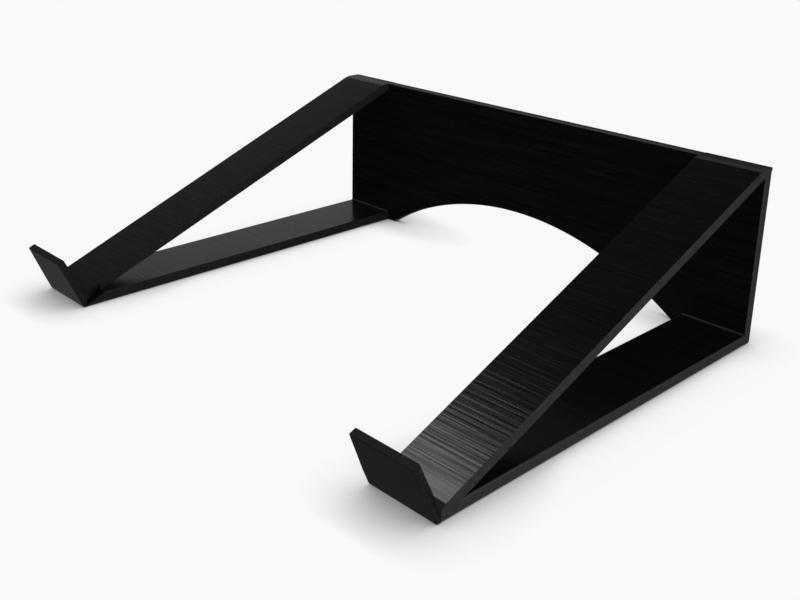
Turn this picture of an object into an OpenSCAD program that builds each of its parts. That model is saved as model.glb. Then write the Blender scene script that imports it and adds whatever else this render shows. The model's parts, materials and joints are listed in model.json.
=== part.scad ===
// Laptop stand of thin plates, glued and pinned together and stained black.
// X runs across the stand, Y from the lips at the front to the panel at the back, Z is up.
// The origin is the middle of the stand's footprint, on the table.

/* [Overall] */
// Width across the back panel
stand_w = 290; // [250:5:340]
// Depth of the wood on the table, from the toes to the back of the panel
base_d = 222; // [190:2:260]
// Height of the back panel
stand_h = 90; // [70:1:130]
// Thickness of the plates
plate_t = 5; // [4:0.5:6]

/* [Arms] */
// Width of an arm at the panel
arm_top_w = 35; // [31:1:45]
// Width of an arm at its toe
arm_toe_w = 31; // [29:1:35]
// Depth of the flat land at the top of an arm, where it lies over the panel's edge
arm_land = 9; // [7:0.5:10]

/* [Base bars] */
// Width of a base bar, and of a lip at the table
base_w = 36; // [36:1:46]

/* [Lips] */
// Length of a lip, along its slope
lip_len = 28.5; // [22:0.5:40]
// Thickness of a lip
lip_t = 3.7; // [3.4:0.1:4.6]
// Lean of a lip towards the front, in degrees
lip_lean = 23.5; // [16:0.5:30]
// Amount that each side of a lip draws in at the top
lip_draw = 1.8; // [0:0.2:3]
// Height of the corner strip, up the lip
strip_up = 6.5; // [4:0.5:8]
// Depth of the corner strip, along the arm
strip_along = 3; // [2:0.5:5]
// Depth that the strip is let into the arm and the lip
strip_foot = 0.8; // [0.4:0.1:1.2]

/* [Arch] */
// Height of the arch
arch_rise = 31.5; // [20:0.5:40]
// Width of panel left standing between the arch and a base bar
arch_toe = 6; // [2:0.5:12]

/* [Pins] */
// Diameter of the joint pins
pin_d = 1.4; // [1:0.1:1.6]
// Length of the joint pins
pin_len = 12; // [10:0.5:14]
// Depth that a pin's head is set below the surface
pin_set = 0.6; // [0.4:0.1:0.8]

/* [Foot pads] */
// Diameter of a foot pad
pad_d = 12; // [8:1:16]
// Thickness of a foot pad
pad_t = 1; // [0.8:0.1:1.5]
// Amount that a pad stands below the wood
pad_proud = 0.3; // [0.2:0.1:0.5]
// Distance of the front pads from the toes
front_pad_y = 24; // [22:1:40]
// Distance of the rear pads from the back of the panel
rear_pad_y = 26; // [24:1:40]

/* [Hidden] */
$fn = 96;
pin_fn = 32;
arch_fn = 360;

left = 0;
right = 1;
half_w = stand_w / 2;
panel_y = base_d - plate_t;

// The arm's underside starts at the toe and its top reaches the land at full height
arm_run = base_d - arm_land;
arm_angle = acos(plate_t / norm([stand_h, arm_run])) - atan2(arm_run, stand_h);
arm_slope = tan(arm_angle);
arm_rise = plate_t / cos(arm_angle);
function arm_under(y) = y * arm_slope;
function arm_over(y) = arm_under(y) + arm_rise;

// Arm, in the side view: directions along the arm and out of its top
arm_along = [cos(arm_angle), sin(arm_angle)];
arm_out = [-sin(arm_angle), cos(arm_angle)];
// Lip, in the side view: directions up the lip and through its thickness
lip_up = [-sin(lip_lean), cos(lip_lean)];
lip_in = [cos(lip_lean), sin(lip_lean)];
lip_top = lip_len * lip_up;
lip_reach = -lip_top[0];
lip_height = lip_top[1];
// Where a line through the lip, at a depth from its outer face, meets a line along the arm
function meeting(depth, rise) =
    let (y = (depth - rise * lip_in[1]) / (lip_in[0] + arm_slope * lip_in[1]))
        [y, y * arm_slope + rise];
// The inner corner, where the lip's inner face meets the arm's top
corner = meeting(lip_t, arm_rise);
// The upright seam between the lip and the ends of arm and base bar
seam_step = 0.6;
seam_y = corner[0] + seam_step;
// The corner strip's two feet, let into rebates in the arm and in the lip
foot_rise = arm_rise - strip_foot / cos(arm_angle);
strip_heel = meeting(lip_t - strip_foot, foot_rise);
strip_end = corner + strip_along * arm_along;
rebate_end = strip_end - strip_foot * arm_out;
strip_tip = corner + strip_up * lip_up;
rebate_tip = strip_tip - strip_foot * lip_in;

// Arch: one arc that meets the table a little inside each base bar
foot_x = half_w - base_w - arch_toe;
arc_r = (foot_x * foot_x + arch_rise * arch_rise) / (2 * arch_rise);
arc_z = arch_rise - arc_r;

// Joint pins stand at a quarter and three quarters of the arm's toe
pin_xs = [half_w - arm_toe_w / 4, half_w - arm_toe_w * 3 / 4];
// The lip's pins are driven a little above the middle of the base bar
lip_pin_z = plate_t * 0.64;
pad_x = half_w - base_w / 2;

wood_black = [0.06, 0.06, 0.06];
edge_black = [0.10, 0.10, 0.10];
cut = 1;

// The drawings below have the toe at Y 0 and the wood's underside at Z 0
module in_place() {
    translate([0, (lip_reach - base_d) / 2, pad_proud]) children();
}

// The right side is drawn, and the left side is its mirror image
module on_side(side) {
    in_place()
        if (side == right) children();
        else mirror([1, 0, 0]) children();
}

// A side-view outline, in Y and Z, extruded over the outer part of the right side
module side_plate(width, outline) {
    translate([half_w - width, 0, 0])
        rotate([90, 0, 90])
            linear_extrude(width) polygon(outline);
}

module y_pin(x, y, z, length) {
    translate([x, y, z]) rotate([-90, 0, 0]) cylinder(h = length, d = pin_d, $fn = pin_fn);
}

module lip_pins_shape() {
    start = pin_set - lip_pin_z * tan(lip_lean);
    for (x = pin_xs) y_pin(x, start, lip_pin_z, pin_len);
}

module arm_pins_shape() {
    for (x = pin_xs)
        translate([x, base_d - plate_t / 2, stand_h - pin_set - pin_len])
            cylinder(h = pin_len, d = pin_d, $fn = pin_fn);
}

module base_pins_shape() {
    for (x = pin_xs) y_pin(x, base_d - pin_set - pin_len, plate_t / 2, pin_len);
}

// Plan view of an arm: straight outside, and inside as far as the strip, then tapered to the panel
module arm_plan() {
    linear_extrude(stand_h)
        polygon([
            [half_w - arm_toe_w, 0],
            [half_w, 0],
            [half_w, base_d],
            [half_w - arm_top_w, base_d],
            [half_w - arm_toe_w, rebate_end[0]]
        ]);
}

module arm_shape() {
    outline = [
        [seam_y, arm_under(seam_y)],
        [base_d, arm_under(base_d)],
        [base_d, stand_h],
        [arm_run, stand_h],
        [seam_y, arm_over(seam_y)]
    ];
    intersection() {
        side_plate(half_w, outline);
        arm_plan();
    }
}

module arm() {
    difference() {
        arm_shape();
        rebates(half_w);
        lip_pins_shape();
        arm_pins_shape();
    }
}

// Front view of a lip: upright beside the strip, then drawn in towards the top
module lip_front() {
    translate([0, base_d / 2, 0])
        rotate([90, 0, 0])
            linear_extrude(base_d)
                polygon([
                    [half_w - base_w, 0],
                    [half_w, 0],
                    [half_w, strip_end[1]],
                    [half_w - lip_draw, lip_height + lip_t],
                    [half_w - base_w + lip_draw, lip_height + lip_t],
                    [half_w - base_w, strip_end[1]]
                ]);
}

module lip() {
    outline = [
        [0, 0],
        [seam_y, 0],
        [seam_y, arm_over(seam_y)],
        corner,
        lip_top + lip_t * lip_in,
        lip_top
    ];
    difference() {
        intersection() {
            side_plate(base_w, outline);
            lip_front();
        }
        rebates(arm_toe_w);
        lip_pins_shape();
    }
}

module base_bar() {
    outline = [
        [seam_y, 0],
        [panel_y, 0],
        [panel_y, plate_t],
        [plate_t / arm_slope, plate_t],
        [seam_y, arm_under(seam_y)]
    ];
    difference() {
        side_plate(base_w, outline);
        lip_pins_shape();
        base_pins_shape();
        pad_shape(front_pad_y);
        pad_shape(base_d - rear_pad_y);
    }
}

// A slim strip with one sloping face, in the corner, whose feet fill the two rebates
module corner_strip() {
    outline = [
        strip_heel,
        rebate_end,
        strip_end,
        strip_tip,
        rebate_tip
    ];
    intersection() {
        side_plate(arm_toe_w, outline);
        lip_front();
    }
}

// The two rebates for the strip's feet, run out past the faces that they are cut in
module rebates(width) {
    outline = [
        strip_heel,
        rebate_end,
        strip_end + cut * arm_out,
        strip_tip + cut * lip_in,
        rebate_tip
    ];
    translate([cut, 0, 0]) side_plate(width + cut, outline);
}

module pad_shape(y) {
    translate([pad_x, y, -pad_proud]) cylinder(h = pad_t, d = pad_d);
}

module arch_opening() {
    intersection() {
        translate([0, arc_z]) circle(arc_r, $fn = arch_fn);
        translate([-foot_x, -cut]) square([2 * foot_x, arch_rise + 2 * cut]);
    }
}

module panel_plate() {
    translate([0, base_d, 0])
        rotate([90, 0, 0])
            linear_extrude(plate_t)
                difference() {
                    translate([-half_w, 0]) square([stand_w, stand_h]);
                    arch_opening();
                }
}

module back_panel() {
    color(wood_black)
        in_place()
            difference() {
                panel_plate();
                for (flip = [0, 1])
                    mirror([flip, 0, 0]) {
                        arm_shape();
                        arm_pins_shape();
                        base_pins_shape();
                    }
            }
}

back_panel();
color(wood_black) on_side(left) arm();  // left_arm
color(wood_black) on_side(right) arm();  // right_arm
color(edge_black) on_side(left) lip();  // left_lip
color(edge_black) on_side(right) lip();  // right_lip
color(edge_black) on_side(left) base_bar();  // left_base
color(edge_black) on_side(right) base_bar();  // right_base
color("dimgray") on_side(left) corner_strip();  // left_corner_strip
color("dimgray") on_side(right) corner_strip();  // right_corner_strip
color("silver") on_side(left) lip_pins_shape();  // left_lip_pins
color("silver") on_side(right) lip_pins_shape();  // right_lip_pins
color("silver") on_side(left) arm_pins_shape();  // left_arm_pins
color("silver") on_side(right) arm_pins_shape();  // right_arm_pins
color("silver") on_side(left) base_pins_shape();  // left_base_pins
color("silver") on_side(right) base_pins_shape();  // right_base_pins
color("black") on_side(left) pad_shape(front_pad_y);  // left_front_pad
color("black") on_side(right) pad_shape(front_pad_y);  // right_front_pad
color("black") on_side(left) pad_shape(base_d - rear_pad_y);  // left_rear_pad
color("black") on_side(right) pad_shape(base_d - rear_pad_y);  // right_rear_pad
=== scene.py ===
# %% [markdown]
# # A black laptop stand, cut from thin plywood
#
# The stand is made of flat plates, 5 mm thick, glued and pinned at their edges. Two sloping
# arms carry the laptop, a short lip at each toe stops it, and a flat bar runs back along the
# table from each toe to the foot of an arched back panel. It was stained black, and then
# sprayed with a thin satin lacquer.
#
# The solid model of the stand is loaded first. Its plates already have the right sizes and the
# right arch. What they lack is what a workshop does last: the sanded arrises, the grain, the
# stain and the lacquer. That is the work of this lesson.

import json
import math

import bmesh
import bpy
from mathutils import Matrix, Vector


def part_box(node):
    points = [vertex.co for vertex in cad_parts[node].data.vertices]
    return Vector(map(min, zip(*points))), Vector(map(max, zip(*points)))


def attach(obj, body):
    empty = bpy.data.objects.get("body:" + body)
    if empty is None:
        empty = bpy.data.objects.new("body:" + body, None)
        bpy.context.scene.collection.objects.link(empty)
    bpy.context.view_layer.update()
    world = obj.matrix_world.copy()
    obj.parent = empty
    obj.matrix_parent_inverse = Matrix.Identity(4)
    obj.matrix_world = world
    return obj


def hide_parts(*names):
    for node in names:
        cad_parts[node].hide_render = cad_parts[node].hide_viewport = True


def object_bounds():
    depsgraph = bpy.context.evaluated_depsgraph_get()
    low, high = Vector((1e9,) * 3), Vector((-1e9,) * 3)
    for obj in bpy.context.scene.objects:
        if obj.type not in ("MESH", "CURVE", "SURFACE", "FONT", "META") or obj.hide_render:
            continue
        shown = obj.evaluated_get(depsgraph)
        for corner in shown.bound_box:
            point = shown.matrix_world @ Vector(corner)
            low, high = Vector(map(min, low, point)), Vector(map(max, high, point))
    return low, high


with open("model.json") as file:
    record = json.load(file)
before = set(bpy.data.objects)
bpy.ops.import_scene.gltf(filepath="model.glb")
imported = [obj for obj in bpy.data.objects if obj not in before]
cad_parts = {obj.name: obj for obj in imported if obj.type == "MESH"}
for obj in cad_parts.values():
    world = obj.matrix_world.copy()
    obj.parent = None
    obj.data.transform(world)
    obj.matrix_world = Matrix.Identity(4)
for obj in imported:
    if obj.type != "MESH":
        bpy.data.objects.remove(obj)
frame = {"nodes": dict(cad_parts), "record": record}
cad_low, cad_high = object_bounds()
MM = 0.001
print("plates and fittings:", len(frame["nodes"]))
print("size in mm:", [round(side / MM, 1) for side in cad_high - cad_low])

# %% [markdown]
# ## The camera
#
# A camera can be placed by turning it until the picture looks right. Here it is placed by
# numbers instead: where it stands, how far it looks down, which way it faces and how much it
# rolls. A small shift moves the picture up on the sensor and leaves the uprights nearly
# parallel, as a photographer does with a shift lens or by cropping.

# %% Camera
CAMERA_PLACE = Vector((0.3583, -0.3359, 0.2210))
CAMERA_LOOKS_DOWN = math.radians(18.0)
CAMERA_AZIMUTH = math.radians(45.57)
CAMERA_ROLL = math.radians(1.16)
CAMERA_LENS = 46.85
CAMERA_SHIFT_DOWN = 0.12
SENSOR_WIDTH = 36.0
NEAREST_SEEN = 0.01
FARTHEST_SEEN = 50.0

camera_data = bpy.data.cameras.new("camera")
camera_data.lens = CAMERA_LENS
camera_data.sensor_width = SENSOR_WIDTH
camera_data.shift_y = -CAMERA_SHIFT_DOWN
camera_data.clip_start = NEAREST_SEEN
camera_data.clip_end = FARTHEST_SEEN
camera = bpy.data.objects.new("camera", camera_data)
bpy.context.scene.collection.objects.link(camera)
turn = Matrix.Rotation(CAMERA_AZIMUTH, 4, "Z")
tilt = Matrix.Rotation(math.pi / 2 - CAMERA_LOOKS_DOWN, 4, "X")
roll = Matrix.Rotation(CAMERA_ROLL, 4, "Z")
camera.matrix_world = Matrix.Translation(CAMERA_PLACE) @ turn @ tilt @ roll
bpy.context.scene.camera = camera
print("camera to stand in m:", round((CAMERA_PLACE - (cad_low + cad_high) / 2).length, 3))

# %% [markdown]
# ## Colours and nodes
#
# Colours are given as hex values, which are in sRGB. Shader sockets want linear values,
# so one function turns the first into the second. Another adds any node, sets it up and links
# it, so that each material below reads as a short list of what feeds what. The rest are short
# forms for what comes up again and again: mixing two colours, a ramp between two tones, and a
# new material whose pattern is measured in real lengths on the object.

# %% Colours
def from_hex(text):
    """An sRGB colour such as #1a1a1a as the linear colour that a shader socket takes."""
    channels = [int(text[i:i + 2], 16) / 255 for i in (1, 3, 5)]
    linear = [c / 12.92 if c <= 0.04045 else ((c + 0.055) / 1.055) ** 2.4 for c in channels]
    return (*linear, 1.0)


print("black in linear light:", [round(c, 4) for c in from_hex("#101010")[:3]])

# %% Nodes
def feed(tree, socket, value):
    """Links an output to a socket, or gives the socket its own value."""
    if isinstance(value, bpy.types.NodeSocket):
        tree.links.new(value, socket)
    else:
        socket.default_value = value


def add(tree, kind, settings=None, **sockets):
    """Adds a node. Settings are its own options, and sockets are values or outputs to link."""
    node = tree.nodes.new("ShaderNode" + kind)
    for name, value in (settings or {}).items():
        setattr(node, name, value)
    for name, value in sockets.items():
        feed(tree, node.inputs[name.replace("_", " ")], value)
    return node


def mix(tree, share, first, second, blend="MIX"):
    """Mixes two colours by a share."""
    node = add(tree, "Mix", {"data_type": "RGBA", "blend_type": blend})
    # A mix node has sockets for numbers and for vectors too, and these are the ones for colours
    for index, value in ((0, share), (6, first), (7, second)):
        feed(tree, node.inputs[index], value)
    return node.outputs[2]


def two_tones(tree, amount, dark, light, start=0.0, end=1.0):
    """A ramp from a dark colour to a light one."""
    ramp = add(tree, "ValToRGB", Fac=amount)
    for element, place, colour in zip(ramp.color_ramp.elements, (start, end), (dark, light)):
        element.position = place
        element.color = from_hex(colour)
    return ramp.outputs["Color"]


def new_material(name, lengths):
    """A material, its node tree and a pattern space that repeats over lengths in X, Y and Z."""
    material = bpy.data.materials.new(name)
    material.use_nodes = True
    tree = material.node_tree
    where = add(tree, "TexCoord")
    space = add(tree, "Mapping", Vector=where.outputs["Object"],
                Scale=tuple(1 / length for length in lengths))
    return material, tree, space.outputs["Vector"]


def coat(material, **sockets):
    """Feeds the material's own shader, and gives back the material."""
    tree = material.node_tree
    shader = tree.nodes["Principled BSDF"]
    for name, value in sockets.items():
        feed(tree, shader.inputs[name.replace("_", " ")], value)
    return material


print("materials before the first one is made:", len(bpy.data.materials))

# %% [markdown]
# ## Floor and light
#
# The stand is shown on a pale sweep of paper, which is one large plane. The paper gives off its
# own even light, so that it has no bright or dark side. A soft dark edge is drawn on it where
# something stands close, and that is the contact shadow.
#
# A glossy black thing shows mostly what it mirrors. So the room has two brightnesses: an even
# one, which lights the stand from all sides, and a patterned one, which is only mirrored. The
# pattern is the product of two ramps: one over the height of the direction that the light comes
# from, and one from in front of the stand to behind it. The paper isn't mirrored at all. In a
# studio, white boards and black flags round the object do the same.
#
# Two soft boxes finish it. One hangs high on the left and is only mirrored: it makes the bright
# patch near the right toe. The other stands close on the right and lights the plates' edges.

# %% Floor
FLOOR_SIZE = 12.0
PAPER_WHITE = "#f9f9f9"
CONTACT = 26 * MM
# Above 1 makes the contact shadow darker
CONTACT_DEPTH = 1.12
CONTACT_SAMPLES = 12

bpy.ops.object.select_all(action="DESELECT")
bpy.ops.mesh.primitive_plane_add(size=FLOOR_SIZE, location=(0, 0, 0))
floor = bpy.context.object
floor.name = "paper_sweep"
floor.visible_glossy = False
paper = bpy.data.materials.new("evenly_lit_white_paper")
paper.use_nodes = True
paper.node_tree.nodes.clear()
near = add(paper.node_tree, "AmbientOcclusion", {"samples": CONTACT_SAMPLES}, Distance=CONTACT)
soft = add(paper.node_tree, "Gamma", Color=near.outputs["Color"], Gamma=CONTACT_DEPTH)
tint = mix(paper.node_tree, 1.0, soft.outputs["Color"], from_hex(PAPER_WHITE), "MULTIPLY")
lit = add(paper.node_tree, "Emission", Color=tint, Strength=1.0)
add(paper.node_tree, "OutputMaterial", Surface=lit.outputs["Emission"])
floor.data.materials.append(paper)
print("floor", FLOOR_SIZE, "m across, contact shadow", CONTACT / MM, "mm wide")

# %% World light
ROOM_LIGHT = 1.0
# Brightness that the stand mirrors, by the height of the direction it comes from
BY_HEIGHT = ((-1.0, 0.12), (-0.72, 0.15), (-0.58, 0.24), (-0.5, 0.21), (-0.36, 0.02),
             (0.0, 0.02), (0.2, 0.22), (0.30, 0.68), (0.36, 0.52), (0.6, 0.20), (0.78, 0.045),
             (1.0, 0.03))
# The share of it that is left, from in front of the stand to behind it
BY_DEPTH = ((-1.0, 1.0), (-0.2, 1.0), (0.02, 0.55), (0.28, 1.0), (0.63, 1.0), (0.71, 0.25),
            (1.0, 0.15))

world = bpy.data.worlds.new("studio")
bpy.context.scene.world = world
world.use_nodes = True
sky = world.node_tree
sky.nodes.clear()
direction = add(sky, "TexCoord")
parts = add(sky, "SeparateXYZ", Vector=direction.outputs["Generated"])


def profile(axis, stops):
    """A ramp over one axis of the direction, from -1 to 1."""
    along = add(sky, "MapRange", Value=parts.outputs[axis], From_Min=-1.0, From_Max=1.0)
    band = add(sky, "ValToRGB", Fac=along.outputs["Result"])
    elements = band.color_ramp.elements
    while len(elements) < len(stops):
        elements.new(0.5)
    for element, (value, brightness) in zip(elements, stops):
        element.position = (value + 1) / 2
        element.color = (brightness, brightness, brightness, 1.0)
    return band.outputs["Color"]


mirrored = mix(sky, 1.0, profile("Z", BY_HEIGHT), profile("Y", BY_DEPTH), "MULTIPLY")
rays = add(sky, "LightPath")
even = (ROOM_LIGHT, ROOM_LIGHT, ROOM_LIGHT, 1.0)
seen = mix(sky, rays.outputs["Is Glossy Ray"], even, mirrored)
glow = add(sky, "Background", Color=seen, Strength=1.0)
add(sky, "OutputWorld", Surface=glow.outputs["Background"])
print("room light", ROOM_LIGHT, "mirrored at most", max(b for z, b in BY_HEIGHT))

# %% Soft boxes
# For each box: its place, the point that it is aimed at, its width and height, and its watts
OVERHEAD_LEFT = ((-0.63, -0.15, 1.02), (0.127, -0.08, 0.0), (0.42, 0.34), 4.2)
BESIDE_RIGHT = ((0.50, -0.01, 0.16), (0.145, 0.02, 0.03), (0.34, 0.16), 1.0)


def soft_box(name, place, aim, size, watts):
    """A rectangular area light at a place, aimed at a point."""
    data = bpy.data.lights.new(name, "AREA")
    data.shape = "RECTANGLE"
    data.size, data.size_y = size
    data.energy = watts
    lamp = bpy.data.objects.new(name, data)
    bpy.context.scene.collection.objects.link(lamp)
    lamp.location = place
    lamp.rotation_euler = (Vector(aim) - Vector(place)).to_track_quat("-Z", "Y").to_euler()
    lamp.visible_camera = False
    return lamp


overhead = soft_box("overhead_left", *OVERHEAD_LEFT)
overhead.visible_diffuse = False
beside = soft_box("beside_right", *BESIDE_RIGHT)
bpy.context.scene.view_settings.view_transform = "Standard"
for box in (overhead, beside):
    print("soft box", box.name, "at", tuple(round(v, 2) for v in box.location))

# %% [markdown]
# ## Black stained veneer under satin lacquer
#
# The broad faces of the plates are veneer, stained black. The stain leaves the wood nearly
# black, and the pores a little darker still. The lacquer is thin, so the surface still follows
# the grain. It lies across the arms, in lines a millimetre or two apart, and shows only where a
# lamp is mirrored. So the grain is made mostly of height, and hardly of colour.

# %% Lacquered face
GRAIN_SPACING = 1.5 * MM
GRAIN_LENGTH = 75 * MM
GRAIN_HEIGHT = 0.12 * MM
GRAIN_BUMP = 0.6
PORE_BLACK, WOOD_BLACK = "#040404", "#0a0a0a"
LACQUER_SMOOTHEST, LACQUER_ROUGHEST = 0.13, 0.27
LACQUER_SHINE = 0.15


def lacquered_face():
    """Black veneer, whose grain shows in its height and hardly in its colour."""
    material, tree, space = new_material("black_stained_veneer_satin_lacquer",
                                         (GRAIN_LENGTH, GRAIN_SPACING, GRAIN_SPACING))
    grain = add(tree, "TexNoise", Vector=space, Scale=1.0, Detail=1.5, Roughness=0.5,
                Distortion=0.15)
    fine = add(tree, "TexNoise", Vector=space, Scale=3.1, Detail=2.0, Roughness=0.5)
    tone = two_tones(tree, grain.outputs["Fac"], PORE_BLACK, WOOD_BLACK, 0.3, 0.7)
    sheen = add(tree, "MapRange", Value=fine.outputs["Fac"], From_Min=0.3, From_Max=0.7,
                To_Min=LACQUER_SMOOTHEST, To_Max=LACQUER_ROUGHEST)
    bump = add(tree, "Bump", Height=grain.outputs["Fac"], Strength=GRAIN_BUMP,
               Distance=GRAIN_HEIGHT)
    return coat(material, Base_Color=tone, Roughness=sheen.outputs["Result"],
                Normal=bump.outputs["Normal"], Specular_IOR_Level=LACQUER_SHINE)


FACE = lacquered_face()
print("grain every", GRAIN_SPACING / MM, "mm")

# %% [markdown]
# ## Sanded edges
#
# The edges of a plate are cut across the plies. They drink the stain unevenly and are rougher
# than the faces, so they are matt, mottled and a little greyer. The edges that face the middle
# of the stand get a darker copy of this finish, which is painted shade between the two sides of
# the stand. The lips and the corner strips are too small to sand much, and are the darkest and
# most matt.

# %% Stained edge
MOTTLE = 2.2 * MM
MOTTLE_HEIGHT = 0.05 * MM
MOTTLE_BUMP = 0.35


def stained_edge(name, dark, light, roughness, shine):
    """A sawn and sanded edge, mottled by the stain."""
    material, tree, space = new_material(name, (MOTTLE, MOTTLE, MOTTLE))
    blotch = add(tree, "TexNoise", Vector=space, Scale=1.0, Detail=4.0, Roughness=0.6)
    tone = two_tones(tree, blotch.outputs["Fac"], dark, light, 0.32, 0.68)
    bump = add(tree, "Bump", Height=blotch.outputs["Fac"], Strength=MOTTLE_BUMP,
               Distance=MOTTLE_HEIGHT)
    return coat(material, Base_Color=tone, Normal=bump.outputs["Normal"], Roughness=roughness,
                Specular_IOR_Level=shine)


EDGE = stained_edge("black_stained_ply_edge", "#1e1e1e", "#282828", 0.42, 0.25)
LIP_EDGE = stained_edge("black_stained_lip_edge", "#121212", "#1a1a1a", 0.6, 0.06)
# A darker copy of the edge finish for the edges that face the middle: painted shade
EDGE_IN_PAINTED_SHADE = stained_edge("black_stained_edge_painted_shade", "#111111", "#1b1b1b", 0.5, 0.12)
print("edge materials:", EDGE.name, LIP_EDGE.name, EDGE_IN_PAINTED_SHADE.name)

# %% [markdown]
# ## The plates
#
# Each plate starts as a copy of its solid. The solid's surface comes as loose triangles, so the
# copy is merged first and its flat faces are made whole again. Then its outer arrises are
# eased, as a maker does with a sanding block after the glue has dried. The edges inside a joint
# stay sharp, because they are glued to a neighbour and were never sanded. A bisect cut splits
# an edge where it passes from one to the other.
#
# The radius that a bevel is given is only the most that it may take. Blender holds it back on
# the whole piece as soon as one chosen edge has no room for it. Here that leaves 0.81 mm on the
# bars, 0.58 mm on the panel and 0.47 mm on the lips. On the arms it leaves only 0.005 mm, and so
# the arms' arrises are still sharp.

# %% Planes of the stand, read from the solid model
def mount(name):
    """The place and the direction of one of the stand's resting faces."""
    found = [m for m in frame["record"]["mounts"] if m["name"] == name][0]
    return Vector(found["pos_m"]), Vector(found["axis"]).normalized()


arm_point, arm_normal = mount("right_arm_rest")
lip_normal = mount("right_lip_stop")[1]
panel_low, panel_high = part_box("back_panel")
base_low, base_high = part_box("right_base")
PLATE = panel_high.y - panel_low.y
panel_front = panel_low.y
base_top = base_high.z
seam = base_low.y
arm_under_point = arm_point - arm_normal * PLATE
# The scarf ends where the arm's underside reaches the top of the base bar
scarf_end = arm_under_point.y + (base_top - arm_under_point.z) * arm_normal.z / -arm_normal.y
print("plate in mm:", round(PLATE / MM, 2), "scarf ends at y", round(scarf_end, 4))

# %% Helpers for mesh work
CLOSE = 0.02 * MM
MERGE = 0.002 * MM
CUT_MERGE = 0.001 * MM
STILL_FLAT = math.radians(0.3)
SMOOTH_BELOW = math.radians(35)
# The cosine between two directions that count as the same, as nearly the same, as roughly the
# same, and as on the same side
SAME_WAY, NEARLY, ROUGHLY, SAME_SIDE = 0.999, 0.99, 0.9, 0.5
ROUND = 0.5


def only(thing):
    """Selects one object and makes it active."""
    bpy.ops.object.select_all(action="DESELECT")
    thing.hide_set(False)
    thing.select_set(True)
    bpy.context.view_layer.objects.active = thing


def copy_of(node, name):
    """A merged copy of a solid, with its flat faces made whole."""
    piece = frame["nodes"][node].copy()
    piece.data = frame["nodes"][node].data.copy()
    piece.name = name
    piece.data.name = name
    piece.parent = None
    for key in list(piece.keys()):
        del piece[key]
    bpy.context.scene.collection.objects.link(piece)
    only(piece)
    bpy.ops.object.mode_set(mode="EDIT")
    bpy.ops.mesh.select_all(action="SELECT")
    bpy.ops.mesh.remove_doubles(threshold=MERGE)
    bpy.ops.mesh.dissolve_limited(angle_limit=STILL_FLAT)
    bpy.ops.object.mode_set(mode="OBJECT")
    return piece


def split_at(piece, point, normal):
    """Cuts the faces along a plane and keeps both sides."""
    only(piece)
    bpy.ops.object.mode_set(mode="EDIT")
    bpy.ops.mesh.select_all(action="SELECT")
    bpy.ops.mesh.bisect(plane_co=point, plane_no=normal, threshold=CUT_MERGE)
    bpy.ops.object.mode_set(mode="OBJECT")


def ease(piece, chosen, radius, segments=4, sharper_than=30):
    """Rounds the arrises that chosen(middle, face_normals) accepts, by at most the radius."""
    only(piece)
    bpy.ops.object.mode_set(mode="EDIT")
    bpy.ops.mesh.select_all(action="DESELECT")
    bpy.ops.mesh.select_mode(type="EDGE")
    work = bmesh.from_edit_mesh(piece.data)
    count = 0
    for edge in work.edges:
        if len(edge.link_faces) != 2 or not edge.is_convex:
            continue
        if edge.calc_face_angle() < math.radians(sharper_than):
            continue
        middle = (edge.verts[0].co + edge.verts[1].co) / 2
        if chosen(middle, [face.normal for face in edge.link_faces]):
            edge.select = True
            count += 1
    bmesh.update_edit_mesh(piece.data)
    bpy.ops.mesh.bevel(offset=radius, segments=segments, profile=ROUND, affect="EDGES",
                       clamp_overlap=True)
    # Where two rounded arrises meet, a face can shrink to nothing
    bpy.ops.mesh.select_all(action="SELECT")
    bpy.ops.mesh.dissolve_degenerate(threshold=CUT_MERGE)
    bpy.ops.object.mode_set(mode="OBJECT")
    print(piece.name, "arrises chosen:", count, "radius at most", round(radius / MM, 2), "mm")


LACQUER_INDEX, EDGE_INDEX, PAINTED_SHADE_INDEX = 0, 1, 2
BROAD_FACE = 0.995
FACE_AREA_WEIGHT = 100


def looks_inwards(polygon):
    """True for an upright face, in front of the panel, that faces the middle of the stand."""
    side = polygon.normal.x
    return abs(side) > SAME_SIDE and side * polygon.center.x < 0 and polygon.center.y < panel_front


def finish_wood(piece, node, face_normals, edge_material):
    """Faces along the broad normals get lacquer, all others the edge finish; with the plain edge
    finish, upright edges that face the middle get a darker copy of it, which is painted shade.
    """
    piece.data.materials.clear()
    for material in (FACE, edge_material, EDGE_IN_PAINTED_SHADE):
        piece.data.materials.append(material)
    for polygon in piece.data.polygons:
        if any(abs(polygon.normal.dot(n)) > BROAD_FACE for n in face_normals):
            polygon.material_index = LACQUER_INDEX
        # Upright edges that face the middle of the stand get the darker finish of painted shade
        elif edge_material is EDGE and looks_inwards(polygon):
            polygon.material_index = PAINTED_SHADE_INDEX
        else:
            polygon.material_index = EDGE_INDEX
    only(piece)
    bpy.ops.object.shade_smooth_by_angle(angle=SMOOTH_BELOW)
    # Without this, a rounded arris bends the shading of the flat face beside it
    flat = piece.modifiers.new("flat_faces_stay_flat", "WEIGHTED_NORMAL")
    flat.mode = "FACE_AREA"
    flat.weight = FACE_AREA_WEIGHT
    flat.keep_sharp = True
    bpy.ops.object.modifier_apply(modifier=flat.name)
    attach(piece, "root")
    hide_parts(node)


# %% Back panel
# An upper limit, as above
ARRIS = 0.9 * MM
X, Y, Z = Vector((1, 0, 0)), Vector((0, 1, 0)), Vector((0, 0, 1))


def in_notch(middle):
    """True along the two notches that the arms are glued into."""
    inner = min(abs(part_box("right_arm")[0].x), abs(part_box("right_arm")[1].x))
    return abs(middle.x) > inner and middle.z > panel_high.z - PLATE and \
        middle.z < panel_high.z + CLOSE


def panel_arris(middle, normals):
    """True where the panel's edge can be reached with a sanding block."""
    front = middle.y < panel_front + CLOSE
    behind_bar = front and abs(middle.x) > base_low.x - CLOSE and middle.z < base_top + CLOSE
    inside = panel_front + CLOSE < middle.y < panel_high.y - CLOSE and \
        abs(middle.x) < panel_high.x - CLOSE
    return not (in_notch(middle) or behind_bar or inside)


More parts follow.
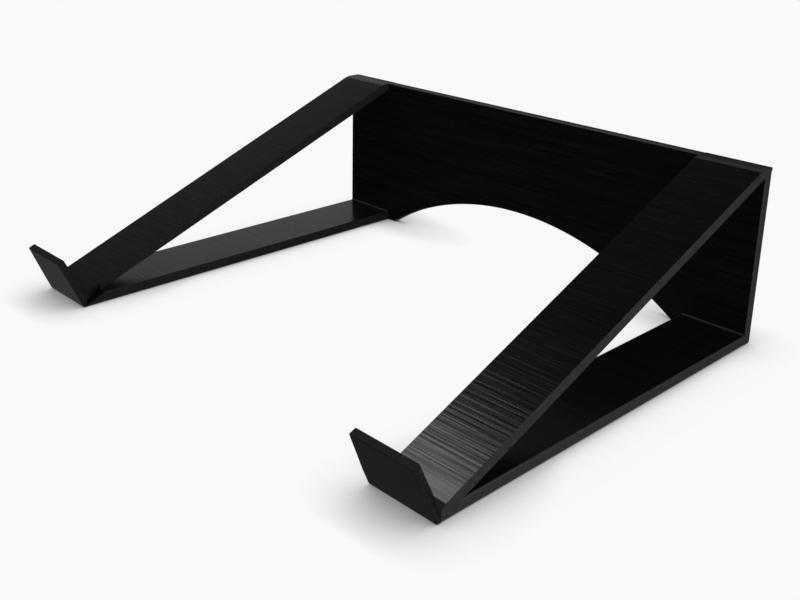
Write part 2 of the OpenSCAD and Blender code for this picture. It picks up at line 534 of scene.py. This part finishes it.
panel = copy_of("back_panel", "arched_back_panel")
split_at(panel, Vector((0, 0, base_top)), Z)
split_at(panel, Vector((base_low.x, 0, 0)), X)
split_at(panel, Vector((-base_low.x, 0, 0)), X)
ease(panel, panel_arris, ARRIS)
finish_wood(panel, "back_panel", [Y], EDGE)

# %% Arms
CREASE = 2.5 * MM
# The crease between slope and land is shallow, so it needs a lower limit than an arris
CREASE_SHARPER_THAN = 10


def by_strip(middle):
    """True in the rebates, where the corner strip is glued in."""
    low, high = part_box("right_corner_strip" if middle.x > 0 else "left_corner_strip")
    return all(low[i] - CLOSE < middle[i] < high[i] + CLOSE for i in range(3))


def land_crease(middle, normals):
    """True where an arm's slope turns into the flat land over the panel."""
    return any(n.z > SAME_WAY for n in normals) and \
        any(n.dot(arm_normal) > SAME_WAY for n in normals)


def arm_arris(middle, normals):
    """True outside the arm's joints and away from the pins' bores."""
    at_seam = middle.y < seam + CLOSE
    in_panel = middle.y > panel_front - CLOSE and middle.z < cad_high.z - CLOSE
    below = any(n.dot(arm_normal) < -ROUGHLY for n in normals)
    on_scarf = below and middle.y < scarf_end
    bore = all(abs(n.x) < NEARLY and abs(n.dot(arm_normal)) < ROUGHLY and abs(n.y) < NEARLY
               for n in normals)
    return not (at_seam or in_panel or on_scarf or bore or by_strip(middle))


for side in ("left", "right"):
    arm = copy_of(side + "_arm", side + "_sloping_arm")
    split_at(arm, Vector((0, panel_front, 0)), Y)
    split_at(arm, Vector((0, scarf_end, 0)), Y)
    ease(arm, land_crease, CREASE, segments=5, sharper_than=CREASE_SHARPER_THAN)
    ease(arm, arm_arris, ARRIS)
    finish_wood(arm, side + "_arm", [arm_normal, Z], EDGE)

# %% Base bars
def bar_arris(middle, normals):
    """True along a bar's two sides, away from its ends and its scarf."""
    at_end = middle.y < seam + CLOSE or middle.y > panel_front - CLOSE
    on_scarf = any(SAME_SIDE < n.z < NEARLY for n in normals)
    outside = abs(abs(middle.x) - base_low.x) < CLOSE or abs(abs(middle.x) - base_high.x) < CLOSE
    return outside and not (at_end or on_scarf)


for side in ("left", "right"):
    bar = copy_of(side + "_base", side + "_base_bar")
    ease(bar, bar_arris, ARRIS)
    finish_wood(bar, side + "_base", [Z, arm_normal], EDGE)

# %% Lips
# An upper limit, as above
LIP_ARRIS = 0.7 * MM


def lip_arris(middle, normals):
    """True outside a lip's joints."""
    at_seam = middle.y > seam - CLOSE
    return not (at_seam or by_strip(middle))


for side in ("left", "right"):
    lip = copy_of(side + "_lip", side + "_toe_lip")
    ease(lip, lip_arris, LIP_ARRIS)
    finish_wood(lip, side + "_lip", [lip_normal], LIP_EDGE)

# %% [markdown]
# ## Corner strips
#
# A slim strip of stained wood fills the corner between a lip and its arm. Its long edges are
# flush with its neighbours, so there is no arris to ease, and it keeps its solid's flat faces.

# %% Corner strips
for side in ("left", "right"):
    strip = copy_of(side + "_corner_strip", side + "_corner_fillet")
    finish_wood(strip, side + "_corner_strip", [], LIP_EDGE)
    print(strip.name, "faces:", len(strip.data.polygons))

# %% [markdown]
# ## Rubber pads
#
# Four thin rubber discs are let into the underside of the bars, so that the stand grips the
# table. A moulded disc isn't quite a cylinder: its rim is rounded by the mould, and its face is
# dished, so that it stands on a ring. It starts as a cylinder, its lower face is inset and
# lifted a little, and the lower rim is bevelled.

# %% Moulded rubber
STIPPLE = 0.5 * MM
STIPPLE_HEIGHT = 0.03 * MM
STIPPLE_BUMP = 0.4
RUBBER_DARK, RUBBER_LIGHT = "#0e0e0e", "#1c1c1c"
RUBBER_ROUGHNESS = 0.8
RUBBER_SHINE = 0.3


def moulded_rubber():
    """Matt rubber, finely stippled by its mould."""
    material, tree, space = new_material("moulded_black_rubber", (STIPPLE, STIPPLE, STIPPLE))
    stipple = add(tree, "TexNoise", Vector=space, Scale=1.0, Detail=2.0)
    tone = two_tones(tree, stipple.outputs["Fac"], RUBBER_DARK, RUBBER_LIGHT)
    bump = add(tree, "Bump", Height=stipple.outputs["Fac"], Strength=STIPPLE_BUMP,
               Distance=STIPPLE_HEIGHT)
    return coat(material, Base_Color=tone, Normal=bump.outputs["Normal"],
                Roughness=RUBBER_ROUGHNESS, Specular_IOR_Level=RUBBER_SHINE)


RUBBER = moulded_rubber()
print("rubber:", RUBBER.name)

# %% Pads
PAD_RING = 1.5 * MM
PAD_DISH = 0.12 * MM
PAD_RIM = 0.2 * MM
PAD_RIM_SEGMENTS = 3
PAD_SIDES = 96


def select_faces(piece, wanted):
    """Selects the faces whose middle and normal are accepted, in edit mode."""
    bpy.ops.mesh.select_mode(type="FACE")
    bpy.ops.mesh.select_all(action="DESELECT")
    work = bmesh.from_edit_mesh(piece.data)
    for face in work.faces:
        face.select = wanted(face.calc_center_median(), face.normal)
    bmesh.update_edit_mesh(piece.data)


def settle(piece):
    """Leaves the object at the origin, unturned, with its place in its mesh."""
    only(piece)
    bpy.ops.object.transform_apply(location=True, rotation=True, scale=True)
    bpy.ops.object.shade_smooth_by_angle(angle=SMOOTH_BELOW)


def make_pad(name, low, high):
    """A disc that fills a box, with a rounded lower rim and a dished lower face."""
    middle = (low + high) / 2
    bpy.ops.object.select_all(action="DESELECT")
    bpy.ops.mesh.primitive_cylinder_add(vertices=PAD_SIDES, radius=(high.x - low.x) / 2,
                                        depth=high.z - low.z, location=middle)
    pad = bpy.context.object
    pad.name = pad.data.name = name
    bpy.ops.object.mode_set(mode="EDIT")
    select_faces(pad, lambda place, normal: normal.z < -ROUGHLY)
    bpy.ops.mesh.bevel(offset=PAD_RIM, segments=PAD_RIM_SEGMENTS, profile=ROUND, affect="EDGES")
    select_faces(pad, lambda place, normal: normal.z < -NEARLY and place.xy.length < PAD_RIM)
    bpy.ops.mesh.inset(thickness=PAD_RING)
    bpy.ops.transform.translate(value=(0, 0, PAD_DISH))
    bpy.ops.object.mode_set(mode="OBJECT")
    settle(pad)
    return pad


made = []
pattern = None
for node in ("left_front_pad", "right_front_pad", "left_rear_pad", "right_rear_pad"):
    low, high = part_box(node)
    if pattern is None:
        pattern, pattern_low = make_pad("rubber_" + node, low, high), low
        pad = pattern
        pad.data.materials.append(RUBBER)
    else:
        pad = pattern.copy()
        pad.data = pattern.data.copy()
        pad.name = pad.data.name = "rubber_" + node
        bpy.context.scene.collection.objects.link(pad)
        pad.location = low - pattern_low
        settle(pad)
    made.append((pad, node, "pad_rubber"))
print("pads:", len(pattern.data.polygons), "faces each")

# %% [markdown]
# ## Steel pins
#
# Each joint holds two headless steel pins, driven in below the surface and hidden. A pin is cut
# from drawn wire, so it carries fine lines along its length, and both ends are chamfered so that
# it starts easily in the wood. One pin is turned to its direction and the second is its copy.

# %% Drawn steel
DRAW_LINE_WIDTH = 0.15 * MM
DRAW_LINE_LENGTH = 4 * MM
STEEL_DULL, STEEL_BRIGHT = "#9a9a98", "#c4c4c0"
STEEL_SMOOTHEST, STEEL_ROUGHEST = 0.22, 0.38


def drawn_steel():
    """Bright wire with fine lines along its length."""
    material, tree, space = new_material(
        "drawn_steel_wire", (DRAW_LINE_WIDTH, DRAW_LINE_LENGTH, DRAW_LINE_LENGTH))
    lines = add(tree, "TexNoise", Vector=space, Scale=1.0, Detail=2.0)
    tone = two_tones(tree, lines.outputs["Fac"], STEEL_DULL, STEEL_BRIGHT)
    polish = add(tree, "MapRange", Value=lines.outputs["Fac"], To_Min=STEEL_SMOOTHEST,
                 To_Max=STEEL_ROUGHEST)
    return coat(material, Base_Color=tone, Roughness=polish.outputs["Result"], Metallic=1.0)


STEEL = drawn_steel()
print("steel:", STEEL.name)

# %% Pins
CHAMFER = 0.2 * MM
PIN_SIDES = 24


def make_pin(name, middle, radius, length, upright):
    """A pin with both ends chamfered, upright or lying from front to back."""
    turn_x = 0.0 if upright else math.pi / 2
    bpy.ops.object.select_all(action="DESELECT")
    bpy.ops.mesh.primitive_cylinder_add(vertices=PIN_SIDES, radius=radius, depth=length,
                                        location=middle, rotation=(turn_x, 0, 0))
    pin = bpy.context.object
    pin.name = pin.data.name = name
    bpy.ops.object.mode_set(mode="EDIT")
    select_faces(pin, lambda place, normal: abs(normal.z) > ROUGHLY)
    bpy.ops.mesh.bevel(offset=CHAMFER, segments=1, affect="EDGES")
    bpy.ops.object.mode_set(mode="OBJECT")
    settle(pin)
    return pin


for side in ("left", "right"):
    for joint, upright in (("lip", False), ("arm", True), ("base", False)):
        node = side + "_" + joint + "_pins"
        low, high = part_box(node)
        length = high.z - low.z if upright else high.y - low.y
        radius = (high.y - low.y if upright else high.z - low.z) / 2
        middle = (low + high) / 2
        first = make_pin(node.replace("_pins", "_joint_pins"),
                         Vector((low.x + radius, middle.y, middle.z)), radius, length, upright)
        second = first.copy()
        second.data = first.data.copy()
        bpy.context.scene.collection.objects.link(second)
        second.location.x += high.x - low.x - 2 * radius
        settle(second)
        only(first)
        second.select_set(True)
        bpy.ops.object.join()
        first.data.materials.append(STEEL)
        made.append((first, node, "pin_steel"))
print("fittings made:", len(made))

# %% Fix the fittings to the stand
for piece, node, slot in made:
    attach(piece, "root")
    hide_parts(node)
print("slots used:", sorted({slot for piece, node, slot in made}))

# %% [markdown]
# ## Glue fillets
#
# Where a base bar meets the panel, the glue that was squeezed out has been wiped to a thin
# hollow bead in the corner and stained with the rest. It shows as a faint line. It is given the
# darker edge finish, which is painted shade in the corner. It starts as a square stick in the
# corner, and a bevel takes away all but a slim cove.

# %% Glue fillets
BEAD = 0.7 * MM
BEAD_WALL = 0.12 * MM
BEAD_SEGMENTS = 5
# Under 0.5 makes a bevel hollow
BEAD_HOLLOW = 0.3


def in_corner(side):
    """A cove along the joint between a base bar's top and the panel's front."""
    low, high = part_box(side + "_base")
    width = high.x - low.x - 2 * ARRIS
    middle = Vector(((low.x + high.x) / 2, panel_front - BEAD / 2, base_top + BEAD / 2))
    bpy.ops.object.select_all(action="DESELECT")
    bpy.ops.mesh.primitive_cube_add(size=1.0, location=middle, scale=(width, BEAD, BEAD))
    bead = bpy.context.object
    bead.name = bead.data.name = side + "_glue_fillet"
    settle(bead)
    bpy.ops.object.mode_set(mode="EDIT")
    bpy.ops.mesh.select_mode(type="EDGE")
    bpy.ops.mesh.select_all(action="DESELECT")
    work = bmesh.from_edit_mesh(bead.data)
    for edge in work.edges:
        place = (edge.verts[0].co + edge.verts[1].co) / 2
        edge.select = place.y < panel_front - BEAD + CLOSE and place.z > base_top + BEAD - CLOSE
    bmesh.update_edit_mesh(bead.data)
    bpy.ops.mesh.bevel(offset=BEAD - BEAD_WALL, segments=BEAD_SEGMENTS,
                       profile=BEAD_HOLLOW, affect="EDGES")
    bpy.ops.object.mode_set(mode="OBJECT")
    settle(bead)
    # The bead takes the darker edge finish, which is painted shade in the corner
    bead.data.materials.append(EDGE_IN_PAINTED_SHADE)
    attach(bead, "root")
    return bead


for side in ("left", "right"):
    bead = in_corner(side)
    print(bead.name, "faces:", len(bead.data.polygons))
